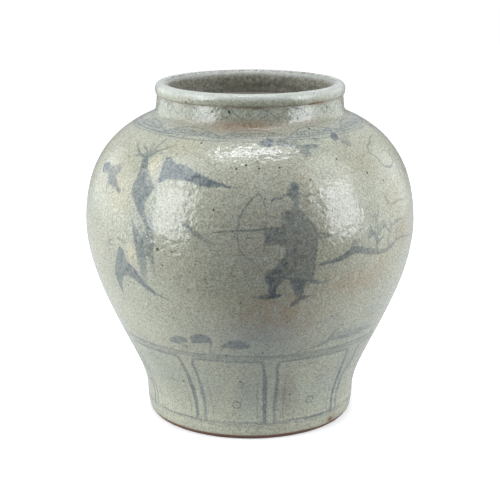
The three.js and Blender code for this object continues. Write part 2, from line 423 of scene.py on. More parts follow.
widest_z = RIM_Z - LIP_HEIGHT / 2
collar = [tuple(fillet_curve[-1]), (neck_radius, RIM_Z - LIP_HEIGHT)]
lip_centre = (neck_radius + LIP_OVERHANG - LIP_OUTER_ROUND, widest_z)
mouth_edge = (MOUTH_RADIUS + LIP_INNER_ROUND, RIM_Z - LIP_INNER_ROUND)
neck_outside = joined(
    evenly(fillet_curve[half_fillet:], NECK_STEP),
    evenly(collar, NECK_STEP),
    evenly(elliptic((neck_radius, widest_z), LIP_OVERHANG, LIP_HEIGHT / 2, -90, 0), NECK_STEP),
    evenly(elliptic(lip_centre, LIP_OUTER_ROUND, LIP_HEIGHT / 2, 0, 90), NECK_STEP),
    evenly(elliptic(mouth_edge, LIP_INNER_ROUND, LIP_INNER_ROUND, 90, 180), NECK_STEP),
)
neck_inside = evenly([(MOUTH_RADIUS, mouth_edge[1]), (MOUTH_RADIUS, NECK_SEAM_Z)], PROFILE_STEP)[1:]
neck, neck_places = turned("neck_and_lip", joined(neck_outside, neck_inside), len(neck_outside))
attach(neck, "root")
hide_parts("neck")

# The neck coil
# The same kind of coil, thinner, over the neck's seam.

NECK_COIL_HEIGHT = 9
NECK_COIL_DEPTH = 2
neck_coil = seam_coil("neck_coil", NECK_SEAM_Z, NECK_COIL_HEIGHT, NECK_COIL_DEPTH)
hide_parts("neck_luting_coil")

# The painting
# Cobalt ground in water, brushed on the raw clay once the jar stands whole. It sinks in at once, so strokes
# pool where the brush rests, fray at their edges and turn pale where it runs dry. Each mark is a curve
# through listed places, and the bodies' points keep how deep in the nearest mark they lie, in mm.

FAR = -6.0  # the depth of a place that no mark comes near
SPECK_FILL = 0.75  # how much of its size a speck's dark heart takes up
side = joined(lower_outside[lower_outside[:, 1] > 0], upper_outside, neck_outside)
side = side[: int(np.argmax(side[:, 1])) + 1]
side_run = np.concatenate([[0], np.cumsum(np.hypot(*np.diff(side, axis=0).T))])
marks = []


def up_the_side(height):
    """The length along the side's profile, in mm, from the foot up to a height."""
    return np.interp(height, side[:, 1], side_run)


def through(points, closed):
    """The Catmull-Rom curve through given (angle, height) points, as radians and length up the side. Each
    stretch is half of 2 P1 + (P2 - P0) t + (2 P0 - 5 P1 + 4 P2 - P3) t^2 + (3 P1 - P0 - 3 P2 + P3) t^3."""
    p = np.array(points, float)
    p = np.concatenate([p[-1:], p, p[:2]]) if closed else np.concatenate([p[:1], p, p[-1:]])
    p = np.column_stack([np.radians(p[:, 0]), up_the_side(p[:, 1])])
    t = np.linspace(0, 1, 6, endpoint=False)[None, :, None]
    p0, p1, p2, p3 = p[:-3, None], p[1:-2, None], p[2:-1, None], p[3:, None]
    bent = p0 * (2 * t**2 - t - t**3) + p1 * (2 - 5 * t**2 + 3 * t**3)
    bent = (bent + p2 * (t + 4 * t**2 - 3 * t**3) + p3 * (t**3 - t**2)) / 2
    return np.concatenate([bent.reshape(-1, 2), p[-2:-1]])


def stroke(points, width, strength, layer="line"):
    """A brush stroke. Its width in mm and its strength are one number each, or several spread along it."""
    line = through(points, False)
    share = np.linspace(0, 1, len(line))
    along = [np.interp(share, np.linspace(0, 1, np.size(v)), np.atleast_1d(v)) for v in (width, strength)]
    mark = {"line": line, "half": along[0] / 2, "strength": along[1]}
    marks.append(mark | {"layer": layer, "closed": False})


def fill(points, strength, layer="wash"):
    """A patch of wash inside a closed outline."""
    line = through(points, True)
    ones = np.ones(len(line))
    mark = {"line": line, "half": 0 * ones, "strength": strength * ones}
    marks.append(mark | {"layer": layer, "closed": True})


def dab(place, across, up, strength, tilt=0, layer="wash"):
    """One touch of a full brush: an oval of half sizes across and up, in mm, turned by tilt degrees."""
    angle, height = place
    a = np.radians(np.arange(0, 360, 45))
    lean = math.radians(tilt)
    x = across * np.cos(a) * math.cos(lean) - up * np.sin(a) * math.sin(lean)
    y = across * np.cos(a) * math.sin(lean) + up * np.sin(a) * math.cos(lean)
    radius = np.interp(height, side[:, 1], side[:, 0])
    fill(np.column_stack([angle + np.degrees(x / radius), height + y]), strength, layer)


def placed(points, turn=0, lift=0, flip=1, size=1, about=(0, 0)):
    """A motif's points scaled or flipped about a place, then turned round the jar and lifted."""
    p = np.array(points, float) - about
    return p * [flip * size, size] + about + [turn, lift]


def draw(motif, about=(0, 0), **move):
    """Draws a motif's rows, each a brush (stroke, fill or dab), its places and what else the brush takes."""
    for brush, places, *rest in motif:
        brush(placed(places, about=about, **move), *rest)


# The old tree that leans out of a rock
tree_left = [
    (-36, 200), (-38.5, 206), (-40.5, 212), (-42, 217), (-44, 221), (-44.6, 226), (-44, 230), (-43.8, 236),
    (-44.5, 243), (-45.5, 247.5), (-44.2, 251),
]
tree_right = [
    (-42.8, 248.5), (-41.5, 245), (-40, 240.5), (-38.5, 236.5), (-36.8, 234), (-35.8, 231.5), (-34.5, 229),
    (-36, 222), (-37, 214), (-35.5, 205), (-33.8, 199),
]
right_trunk = [
    (-34.2, 203), (-34.2, 198), (-33.6, 192), (-33.2, 184), (-33.1, 176), (-32.6, 168), (-32.2, 158),
]
middle_trunk = [
    (-41.3, 199), (-39.5, 191), (-38.3, 184), (-37.6, 176), (-37.2, 168), (-36.9, 160), (-36.5, 149),
]
tree_and_rock = [
    (fill, tree_left + tree_right, 0.7),
    (stroke, [(-39.5, 240), (-38, 236), (-36.3, 232)], (1.5, 3.5, 2), 0.35),
    (stroke, [(-43.8, 249), (-42.8, 240), (-43.2, 230), (-41.5, 219)], (1, 4, 3, 1), (0.25, 0.35, 0.2)),
    (stroke, [(-55, 256.5), (-50, 251.7), (-45, 248.8), (-43.5, 246)], (1.4, 2.6, 2.4), (0.5, 0.66, 0.7)),
    (stroke, [(-53, 247), (-50, 249.2), (-46, 249)], (1, 1.6), (0.4, 0.5)),
    (stroke, [(-50, 256), (-46.5, 254), (-44, 250)], (1.4, 2.2), (0.7, 0.6)),
    (stroke, [(-45, 259), (-44.3, 255), (-43.6, 250)], (1.8, 3, 2.6), (0.3, 0.45, 0.6), "wash"),
    (stroke, [(-43.5, 249), (-42.5, 257), (-41, 262)], (2.6, 1.8, 2), (0.66, 0.6, 0.6)),
    (stroke, [(-43.5, 250), (-41, 254), (-37.5, 257), (-33.5, 259.5)], (2.4, 1.8, 1.1), (0.65, 0.6, 0.45)),
    (stroke, [(-42.6, 250), (-39.5, 253), (-36, 254)], (1.7, 1), 0.5),
    (stroke, right_trunk, (7, 7, 6.5, 5.5, 5, 3.5, 2), (0.45, 0.6, 0.6, 0.6, 0.5, 0.3), "wash"),
    (stroke, middle_trunk, (2, 7, 11, 10, 9.5, 8, 3), (0.5, 0.62, 0.66, 0.66, 0.6, 0.5, 0.2), "wash"),
    (stroke, [(-36.2, 192), (-35.4, 184), (-35.2, 175)], (4, 6, 3), (0.4, 0.5, 0.4), "wash"),
    (dab, (-34.6, 175), 1.2, 1.6, 0.5, 0, "line"),
]

# The pointed rock under it
rock_outline = [
    (-48.7, 172), (-47.5, 175.5), (-45.8, 174), (-45, 170), (-44.6, 165.5), (-43, 163), (-41, 160),
    (-40, 156), (-38.5, 152), (-36.5, 147), (-34, 143), (-31.5, 139.5), (-28.6, 137.3), (-31.8, 138.4),
    (-35, 140.5), (-38, 144.5), (-40.5, 148), (-43, 150.5), (-45.6, 151.5), (-47.4, 149), (-48.6, 145),
    (-49.6, 139), (-50.6, 132), (-51.8, 139), (-52.2, 147), (-51.9, 154), (-50.8, 160), (-49.5, 167),
]
rock_edge = [(-43.6, 162), (-40.8, 157), (-38.2, 150.5), (-34.5, 143.5), (-29, 137.5)]
lower_rock = [
    (fill, rock_outline, 0.66),
    (stroke, rock_edge, (3, 4, 4, 2.5, 0.8), 0.45),
    (stroke, [(-47.5, 174), (-46.8, 168), (-47.5, 160)], (2, 5, 2), (0.5, 0.4, 0.15)),
    (stroke, [(-49.8, 165), (-51.2, 152), (-51, 134)], (1, 3, 1), (0.2, 0.3, 0.2)),
]

# The stony hill beside the tree
hill_outline = [
    (-34, 252), (-32, 251.7), (-30.5, 249.5), (-28.5, 247.8), (-26, 247.8), (-24, 247), (-22, 245.5),
    (-20, 243.5), (-17, 241), (-14, 239), (-11, 237), (-8, 235), (-4.5, 233.2), (-10, 233.4), (-13, 233),
    (-16, 233.2), (-18, 234), (-20.5, 235.5), (-23, 236.5), (-26, 236.5), (-29, 236.5), (-31, 235.5),
    (-33.6, 233.2), (-34, 242), (-34.5, 248),
]
hill_ridge = [(-33.5, 250), (-31, 244), (-25, 243), (-19, 239.5), (-12, 236)]
long_hill = [
    (fill, hill_outline, 0.84),
    (stroke, hill_ridge, (3, 4, 3, 3, 1), (0.2, 0.25, 0.3, 0.3, 0.1)),
]
for motif in (tree_and_rock, lower_rock, long_hill):
    draw(motif)

# Leaves and loose touches at the left edge
for touch in (
    ((-65.8, 234), 8, 4.4, 0.9), ((-60.5, 233.5), 7, 4.2, 0.7), ((-57, 236), 7, 4.2, 0.55),
):
    dab(*touch)
stroke([(-61, 232), (-57.8, 228), (-53.5, 224.5)], (5, 9.5, 5.5), (0.6, 0.75, 0.75), "wash")
dab((-51, 221.5), 3.4, 2, 0.7)
stroke([(-54, 225), (-52.5, 223.5), (-50.5, 221.5)], 1.7, 0.5)
stroke([(-59.5, 222), (-58.8, 218), (-58, 214)], 2.4, 0.26, "wash")
stroke([(-57, 204), (-55.5, 202), (-54, 203.5)], 1.2, 0.22)
stroke([(-51.5, 201), (-51.8, 196), (-51, 192)], (2, 2.4, 1.4), 0.34)
stroke([(-48.5, 183), (-46.5, 182), (-45, 180.5)], (1.4, 2.6, 2.4), 0.5)
stroke([(-51.3, 179.5), (-53, 179.5), (-53.8, 177), (-52.8, 174.8), (-51.4, 175.5)], (1.3, 1.8, 1.3), 0.5)
dab((-54.5, 173.5), 1.4, 1.2, 0.5)
stroke([(-54.5, 188.5), (-52, 187.5), (-50, 188.5), (-48.5, 190.5)], (0.8, 1.5, 1.1), 0.26)
stroke([(-50, 203), (-48.5, 201), (-47, 199.5)], (1, 1.6), 0.3)
stroke(
    [(-62, 266), (-66, 256), (-69, 246), (-70.5, 235), (-71, 222), (-71, 205), (-70, 190)],
    (1.2, 1.8, 2, 1.4), (0.25, 0.34, 0.34, 0.2),
)

# The archer: a bow as tall as the figure's body, a drawn arrow and a long robe. The head is one plain touch.
stroke(
    [(-22.4, 205), (-20.3, 202.5), (-18, 198.5), (-16, 195), (-13.5, 191.8), (-11.5, 189.5)],
    (2, 3.6, 4, 4, 3, 1.4), (0.6, 0.65, 0.55, 0.5, 0.45, 0.35),
)
bow = [
    (2.8, 229.5), (1, 226), (-0.5, 222), (-2, 217), (-3, 212), (-3.5, 207), (-3.7, 203), (-4, 198),
    (-3.8, 192), (-3.2, 187), (-2.2, 182), (-0.5, 179), (1, 175.5), (2.5, 172), (3.8, 167.5),
]
stroke(bow, (1, 1.6, 1.8, 1.6, 1.2, 1.1, 1, 1), (0.5, 0.52, 0.5, 0.45, 0.42, 0.42, 0.45, 0.42))
stroke([(2.8, 229.5), (4.3, 225), (5, 218), (5.3, 212), (5, 205), (4.6, 197)], (1.2, 1, 0.8), 0.4)
stroke([(4.6, 196), (4.3, 187), (3.4, 178), (2.5, 172)], 0.5, 0.14)
stroke([(-11.5, 199), (-8, 200), (-4, 201), (0, 201.3), (4.5, 202)], (0.8, 1.6, 1.9, 2), 0.62)
stroke([(-1, 195.8), (1.5, 195.2)], 1.3, 0.4)
dab((15.5, 233.3), 3.9, 3.7, 0.78, -15)
neck_and_collar = [
    (12.8, 231.5), (15, 230.5), (16.5, 228), (16.4, 222), (15.8, 217), (14.3, 218.5), (13.8, 224),
    (12.6, 228.5),
]
fill(neck_and_collar, 0.6)
stroke(
    [(7.2, 223.5), (8.4, 225.6), (10.2, 225.2), (11.4, 227.5), (13.7, 228)],
    (1.6, 2.2, 1.4, 2.2, 2), 0.62,
)
stroke([(16.5, 229), (18, 226.3), (19.3, 225.2), (20.3, 227.4), (22.5, 227)], (1.4, 1.7, 1.3), 0.42)
robe = [
    (10.2, 214), (12, 216.5), (15.5, 218), (18, 211.5), (20, 206), (21.7, 199), (22, 192), (21.5, 186),
    (21.3, 179), (21, 171), (20.8, 163), (20.2, 157), (17.4, 157), (13.5, 159), (10, 161), (7, 164.5),
    (5.5, 167), (9.6, 171), (10.5, 178), (11.2, 184), (10.4, 188.5), (10, 196), (9.9, 205),
]
fill(robe, 0.5)
drawn_arm = [
    (10.4, 212), (9.8, 204.5), (5, 203.2), (4.7, 197), (4.7, 191.5), (6, 190.2), (8.2, 190.6), (10.5, 188),
    (13, 192), (13, 204),
]
fill(drawn_arm, 0.6)
stroke([(4.9, 190.2), (6.5, 189.6), (8.3, 190.5)], 1.8, 0.3)
dab((12.6, 211.5), 3.4, 4.6, 0.3, layer="line")
stroke(
    [(16.5, 216), (19, 208), (21, 200), (21.5, 188), (20.8, 172), (20.3, 159)],
    (1, 2, 2, 1.5, 1.5), 0.25,
)
stroke([(13.8, 208), (14.5, 195), (14, 182), (14.5, 170)], (1.5, 2, 1.5), (0.1, 0.25, 0.15))
stroke([(12.4, 192), (12.6, 181), (10.8, 173), (8.6, 166)], (2, 6, 9, 8), (0.35, 0.55, 0.64, 0.66), "wash")
stroke([(19.4, 157.5), (21.3, 156), (23.2, 154.8), (26, 155.4)], (4, 3.4, 2.8, 1.2), 0.56)
front_leg = [
    (10, 171), (5.3, 167), (4.7, 160), (5.9, 155), (6, 147), (8.3, 147), (8.4, 150.5), (9.2, 155),
    (11, 160), (14, 163),
]
fill(front_leg, 0.72)
stroke([(7.8, 168), (6.8, 160), (7, 150)], (2, 4, 3), 0.3)
fill([(13, 161), (13.6, 153), (15.2, 145), (17.4, 146), (17.8, 151), (18.3, 159)], 0.72)
stroke([(16.2, 158), (16, 151), (16.3, 146)], (2, 3.5, 2), 0.3)
stroke([(2.8, 145), (5, 145.2), (7.5, 145.6), (9.4, 146)], (3.2, 4.6, 4.6, 3), 0.82)
stroke([(14, 136), (15.4, 139.5), (17, 142.4), (19.8, 143.4)], (3, 4.6, 4.4, 2), 0.7)
fill([(22, 197.5), (25.6, 195.2), (27, 191.5), (24, 191.4), (22, 194)], 0.45)

# The bank on the right, with reeds and bushes
bank = [
    (22.7, 170.3), (25, 171.5), (28, 172), (31, 173.5), (34.5, 177.8), (37, 178), (40, 176), (44, 173.5),
    (48, 171.5), (52, 171.2), (55, 173.5), (58, 176.5), (62, 176.5), (66, 175), (70, 173.5), (77, 171),
]
stroke(
    bank,
    (1.6, 2.8, 3.4, 4.2, 6.8, 6, 5.4, 5, 4.2, 4, 3.2, 2.5, 2, 1.6, 1.4, 1),
    (0.72, 0.78, 0.68, 0.54, 0.52, 0.5, 0.42),
)
stroke(
    [(45.8, 174), (45.7, 182), (46.4, 190), (45.7, 198), (45.5, 204)],
    (2.2, 1.8, 1.4), (0.62, 0.55, 0.4),
)
stroke(
    [(52.9, 173), (51.9, 180), (53.4, 185), (54, 190), (56.6, 192), (61, 193)],
    (2.4, 2, 1.5), (0.55, 0.52, 0.45),
)
twigs = [
    [(45.7, 182), (43.9, 189.5), (42.8, 195)],
    [(46, 186.5), (48, 190), (50, 192.5)],
    [(45.7, 179.5), (47.6, 181.5), (49.5, 184)],
    [(45.7, 198), (47.2, 204.5)],
    [(45.6, 200), (43.8, 203.5)],
    [(53.4, 185), (51.6, 189), (50.9, 193)],
    [(54, 190), (53.2, 196)],
    [(57, 176), (57.5, 184)],
]
for twig in twigs:
    stroke(twig, (2, 1.3), 0.52)
stroke([(52.2, 217.5), (53.5, 211.5), (54.9, 208)], (1.4, 2.2, 1.8), 0.52)
stroke([(54.9, 208), (57.3, 207.8), (60.8, 209), (66, 207)], (1.4, 2, 1.4), 0.44)
stroke([(53.9, 197.5), (53.9, 203), (55, 207.5)], (1, 1.8, 1.4), 0.3)
for touch in (
    ((35.7, 182.5), 4.5, 3.5, 0.35, 20), ((43, 188.5), 5, 3, 0.4, 12), ((49.2, 194.5), 5.5, 3.2, 0.36, 15),
    ((54.2, 171.5), 3, 2, 0.4), ((57.5, 193), 5.5, 2.2, 0.24, 8), ((60, 199), 4.5, 2.2, 0.15, 25),
    ((63, 189), 3.5, 2, 0.14),
):
    dab(*touch)

# A cloud drawn as one curling line
cloud_line = [
    (70, 259), (65, 258), (62, 256), (60, 255), (57, 254), (55.5, 251), (56, 248), (58, 244), (58.3, 240),
    (60, 237), (63, 235.5), (66, 236), (69, 239), (70, 243), (68.5, 247), (66, 248), (64, 246.5),
]
cloud_strength = (0.45, 0.6, 0.45, 0.55, 0.6, 0.5, 0.5)
curling_cloud = [(stroke, cloud_line, (1.4, 2, 1.4, 1.8, 2.2, 1.6, 1.2), cloud_strength)]
draw(curling_cloud)
stroke([(55.6, 252), (57.5, 256), (59.5, 258)], (1.2, 0.6), 0.35)
dab((7.5, 264), 6.2, 2.6, 0.85, 8)
stroke([(3.4, 264.6), (4.3, 262), (7, 261.2), (11, 262)], 0.8, 0.35)
dab((14.5, 263.4), 5.5, 2.2, 0.62)
dab((19, 261.6), 5, 1.6, 0.5)
stroke([(16.5, 262), (21, 261), (25, 260.2), (29.5, 260.3)], (3.4, 4.6, 5.6, 4), (0.5, 0.62, 0.68), "wash")
for touch in (
    ((23, 256.8), 4.5, 2.4, 0.55), ((42.7, 264.3), 4.6, 2.3, 0.9, 10), ((46.3, 260.2), 5, 3.4, 0.46, -12),
    ((48.5, 264.5), 2.4, 1.2, 0.25), ((31, 264), 4, 1.4, 0.4), ((24, 255.5), 4, 1.8, 0.34, 20),
    ((50, 263), 5, 1, 0.3), ((20, 263.8), 4, 1.1, 0.4),
):
    dab(*touch)
stroke([(29, 257), (31, 258.5), (33, 256), (35, 257.5)], 0.9, 0.35)

# Clouds low on the bowl, above the band
cap = [
    (-23, 97.5), (-22.8, 103), (-20.5, 106.8), (-17, 106.5), (-15, 104), (-14.2, 99.5), (-16, 99),
    (-18, 98.8), (-20, 97.2),
]
cap_line = [(-22.3, 99), (-20.3, 104.5), (-16.3, 104.5), (-14.9, 99), (-15.4, 94), (-15.5, 88)]


def low_cloud(turn, strength):
    """One low cloud: the wash of its cap, and the line that hems it and hangs down on its right."""
    fill(placed(cap, turn), strength)
    stroke(placed(cap_line, turn), (1.5, 2.5, 2.8, 2.6, 2, 1.2), strength * 0.6)


left_cloud = [
    (-33, 94), (-32.2, 98.5), (-30, 101.2), (-27, 102), (-24.8, 99.8), (-24.6, 97), (-27, 95.5),
    (-29, 93.4),
]
fill(left_cloud, 0.62)
dab((-26.4, 92), 3.2, 2.2, 0.4, -20)
low_cloud(0, 0.74)
right_cloud = [
    (-11, 95.5), (-9.5, 100), (-6, 103), (-3.5, 103), (-1.3, 100), (-0.3, 96), (-3, 94.4), (-7, 94.4),
]
fill(right_cloud, 0.68)
stroke([(-8.8, 96.2), (-10.4, 95.2), (-11.4, 90.5)], (2, 1.4, 0.8), 0.45)
stroke([(-9, 98), (-5, 101), (-1.5, 98)], (1, 2.5, 1), 0.2)
stroke(
    [(22, 114), (24.5, 117), (27, 116), (30, 119), (32, 117), (34, 114)],
    (0.8, 1.3, 1.1, 1.4, 0.8), 0.28,
)
stroke([(36.5, 112), (37, 107), (38, 103)], (1, 1.6), 0.2)
stroke(
    [(20, 90), (27, 91.5), (32, 97), (34, 104), (36, 110)],
    (1, 3.5, 4.5, 3.5, 2), (0.2, 0.38, 0.4, 0.3), "wash",
)
stroke([(31, 95), (36, 96.5), (40, 96.3), (50, 95)], (2, 4, 5, 3), (0.3, 0.42, 0.35), "wash")
stroke([(38, 101), (46, 99), (53, 97), (60, 95)], (2, 4, 5, 3), 0.25, "wash")
stroke([(45, 122), (46, 114), (45.4, 105)], (0.7, 1.3, 0.8), 0.2)
stroke([(55, 120), (54, 112), (52.5, 104)], (0.7, 1.3, 1), 0.28)

# The far side can't be seen in the photo. It repeats the painter's motifs, looser and in another order.
draw(tree_and_rock, (-40, 215), turn=178, lift=2, flip=-1, size=0.95)
draw(lower_rock, (-44, 155), turn=172, lift=4, flip=-1)
draw(long_hill, turn=206, lift=-6)
draw(long_hill, (-24, 242), turn=128, lift=-14, flip=-1, size=0.85)
draw(curling_cloud, (62, 247), turn=52, lift=-4, flip=-1)
draw(curling_cloud, turn=150, lift=4)
for turn, lift, size in ((78, 3, 1), (150, -4, 0.9), (214, 2, 1)):
    far_bank = placed(bank, turn=turn, lift=lift, size=size, about=(48, 174), flip=-1)
    stroke(far_bank, (1.2, 3, 5.5, 4, 3, 2, 1), (0.45, 0.5, 0.4, 0.35))
    for reed in (40, 46, 53):
        far_reed = placed([(reed, 174), (reed + 0.5, 184), (reed - 0.5, 194)], turn=turn, lift=lift)
        stroke(far_reed, (1.3, 0.9, 0.5), 0.3)
for angle, height, across, up, strength in (
    (84, 262, 5, 2, 0.5), (91, 260, 6, 2, 0.35), (99, 263, 4, 1.8, 0.55), (121, 258, 5, 2.2, 0.4),
    (166, 262, 5, 2, 0.55), (174, 259, 6, 2, 0.35), (214, 262, 5, 2, 0.5), (223, 259, 4, 2, 0.35),
    (252, 261, 5, 2, 0.5), (96, 148, 4, 2.4, 0.4), (103, 145, 5, 2.2, 0.3), (190, 152, 5, 2.6, 0.45),
    (236, 225, 5, 2.6, 0.5), (242, 221, 4, 2, 0.35), (262, 214, 5, 2.4, 0.35), (274, 226, 4, 2, 0.3),
):
    dab((angle, height), across, up, strength, tilt=angle % 37 - 18)
for turn in (96, 122, 158, 186, 222, 254, 296):
    low_cloud(turn, 0.45 + 0.15 * math.sin(turn))


def ring(height, width, strength, sway=0.4):
    """A ring round the jar, drawn against the turning wheel: a level stroke whose height, width and strength
    each wander by seeded noise, as a hand does."""
    angles = np.arange(-180, 181, 12)
    hand = np.random.default_rng(round(height * 10)).normal(0, 1, (3, len(angles)))
    hand[:, -1] = hand[:, 0]
    stroke(
        np.column_stack([angles, height + sway * hand[0]]),
        np.clip(width * (1 + 0.25 * hand[1]), 0.4, None),
        np.clip(strength * (1 + 0.25 * hand[2]), 0, 1),
    )


ring(86, 2.4, 0.48)
ring(83, 1.5, 0.4)
ring(15.8, 1.6, 0.55)
ring(13.2, 1, 0.3)
ring(266.6, 1.3, 0.6, sway=0.2)
ring(264.9, 1.1, 0.48, sway=0.2)

# Lappet panels round the foot, as upright petals with a thinner line inside. The four that the photo shows
# are listed one by one, and the far ones share the rest of the circle.
panels = [(-61, -29.2), (-24.2, 7.5), (12.8, 48.8), (52.9, 88.5)]
rest = np.linspace(92.5, 299, 6)
panels += [(a, b - 4) for a, b in zip(rest[:-1], rest[1:])]
for number, (left, right) in enumerate(panels):
    hand = np.random.default_rng(70 + number).normal(0, 1, 12)
    heavy = 1 + 0.12 * hand[0]
    left_top, right_top = left + (1.2 if number == 3 else -1.5), right - 1.8
    top = 80 + 0.5 * hand[1]
    left_side = [
        (left, 17), (left, 35), (left - 0.1, 50), (left_top + 1, 64), (left_top + 0.3, 74),
        (left_top + 1.5, 79.5),
    ]
    across_top = [(left_top + 4, top), ((left + right) / 2 - 2, top + 0.5 * hand[2]), (right_top - 3, top)]
    right_side = [
        (right_top - 0.8, 79), (right_top, 74), (right_top + 1, 62), (right - 0.3, 48), (right, 34),
        (right + 0.3, 16),
    ]
    stroke(left_side, (2.4, 3.4 * heavy, 3.2, 2.6, 1.8), (0.5, 0.62, 0.62, 0.55))
    stroke(left_side[-1:] + across_top + right_side[:1], (1.8, 2.2, 2.4, 2), (0.55, 0.65, 0.55))
    stroke(right_side, (2, 2.6, 4.2 * heavy, 4, 2.6), (0.6, 0.74, 0.8, 0.74))
    stroke(
        [(left + 4.7, 18), (left + 4.5, 36), (left + 4, 54), (left + 4.6, 70)],
        (1, 1.4, 0.8), (0.4, 0.3, 0.15),
    )
    stroke(
        [(right - 3.6, 19), (right - 3.8, 38), (right - 4, 56), (right_top - 3.4, 70)],
        (1.2, 1.6, 0.8), (0.4, 0.35, 0.2),
    )
    middle = (left + right) / 2 + 1.5
    circle = [(middle + 2.2 * math.sin(a), 33.5 + 3.3 * math.cos(a)) for a in np.linspace(0.3, 6.1, 9)]
    if number > 0:
        stroke(circle, (1.7, 1.4, 1.2), 0.68)
    stroke([(middle - 7, 72), (middle - 4, 75), (middle - 2, 72), (middle - 4, 69.5)], 1.2, 0.34)
    stroke([(middle - 8, 60), (middle - 5, 66), (middle, 64), (middle + 4, 67)], 0.9, 0.24)
    stroke([(middle + 1, 56), (middle + 3, 58), (middle + 4, 55), (middle + 2, 52)], 1.3, 0.42)
    stroke([(middle - 5, 50), (middle - 2, 47), (middle + 2, 49)], 0.8, 0.2)

# A band of flat cloud lobes on the shoulder, with curls in each, and a scroll of curls round the neck
LOBES = 11
CURLS = 17
for number in range(LOBES):
    start = -47 + 360 / LOBES * number
    lobe = [(0, 266.5), (3, 269), (8, 271.3), (15, 272), (23, 271), (29, 269), (33, 267.6)]
    stroke(placed(lobe, turn=start), (1, 1.4, 1.2, 1), 0.62)
    inner_lobe = [(5, 268), (9, 269.8), (15, 270.3), (21, 269.5), (26, 268)]
    stroke(placed(inner_lobe, turn=start), 1, 0.56)
    for curl in (6.5, 11, 15.5, 20, 24.5):
        hook = [(-1.8, 267.8), (-0.6, 269.7), (1.5, 269.3), (1.4, 267.8), (0, 268.3)]
        stroke(placed(hook, turn=start + curl), 1, 0.62)
stroke([(a, 268.2 + 0.5 * math.sin(a)) for a in range(-180, 181, 10)], 1.6, 0.3, "wash")
for number in range(CURLS):
    start = -66 + 360 / CURLS * number
    bend = [(0, 282), (3, 287), (8, 288.5), (12, 286), (12, 282.5), (9, 281), (7, 283), (8.5, 285)]
    stroke(placed(bend, turn=start), (0.9, 1.5, 1.2, 0.9), 0.5)
    stroke(placed([(13, 288), (15, 284), (18, 280.5), (21, 282)], turn=start), (1, 1.3, 0.8), 0.44)

# Iron in the clay and the glaze: black specks that came up in the fire, the largest where the photo has them
for angle, height, size in (
    (-30.7, 181, 1.5), (-29, 168, 0.9), (-45, 157, 1.2), (-11.8, 216.5, 1.0), (-34, 51.5, 1.1),
    (-9.5, 87, 1.0), (-4.5, 59, 1.0), (20, 42.5, 1.0), (11.5, 174, 0.8), (35.5, 249.8, 0.9),
    (47, 236.5, 1.1), (54.5, 228, 1.0), (21.5, 237.5, 1.0), (-22, 263, 0.8), (-5, 247, 0.9),
    (-25.5, 180.5, 0.8), (-41, 170, 0.7), (-38.5, 165, 0.7), (3.4, 247.2, 0.8), (-1.5, 249.5, 1.0),
    (11, 247.5, 0.8), (33, 271, 0.7), (-12, 285.5, 1.2), (-40, 291.5, 1.0), (28, 287.5, 1.1),
    (28.5, 279, 1.0), (52, 285, 0.9), (-58, 286.5, 1.0), (13, 120, 0.8), (8, 150.5, 0.8), (-53, 200, 0.7),
    (-18, 130, 0.7), (-3, 140, 0.8), (30, 121, 0.8), (5, 90, 0.9), (-28, 120, 0.7),
):
    dab((angle, height), size * SPECK_FILL, size * SPECK_FILL, 0.9, layer="iron")


def depths(mark, angle, along, radius):
    """How deep each place lies in a mark, in mm, the mark's strength there, and how far the place lies to the
    left of the mark's middle line. The depth is half a stroke's width less the distance to its nearest
    stretch. A patch has no middle line, and its depth is the distance to its outline, positive where a level
    line to the right crosses the outline an odd number of times."""
    across = (mark["line"][None, :, 0] - angle[:, None]) * radius[:, None]
    upward = mark["line"][None, :, 1] - along[:, None]
    dx, dy = np.diff(across), np.diff(upward)
    share = -(across[:, :-1] * dx + upward[:, :-1] * dy) / np.maximum(dx**2 + dy**2, 1e-9)
    share = np.clip(share, 0, 1)
    gap = np.hypot(across[:, :-1] + share * dx, upward[:, :-1] + share * dy)
    if mark["closed"]:
        crosses = (upward[:, :-1] > 0) != (upward[:, 1:] > 0)
        where = across[:, :-1] - upward[:, :-1] * dx / np.where(crosses, dy, 1)
        within = (crosses & (where > 0)).sum(1) % 2 == 1
        nearest = gap.min(1)
        return np.where(within, nearest, -nearest), np.full(len(angle), mark["strength"][0]), 0 * nearest
    half = mark["half"][:-1] + share * np.diff(mark["half"])
    best = np.argmax(half - gap, axis=1)
    rows = np.arange(len(angle))
    strength = mark["strength"][best] + share[rows, best] * np.diff(mark["strength"])[best]
    to_left = (dy * across[:, :-1] - dx * upward[:, :-1])[rows, best] > 0
    offset = np.where(to_left, gap[rows, best], -gap[rows, best])
    return (half - gap)[rows, best], strength, offset


def store(piece, name, values):
    """Keeps one number for each point of a mesh, for the material to read."""
    attribute = piece.data.attributes.new(name, "FLOAT", "POINT")
    attribute.data.foreach_set("value", np.asarray(values, np.float32))


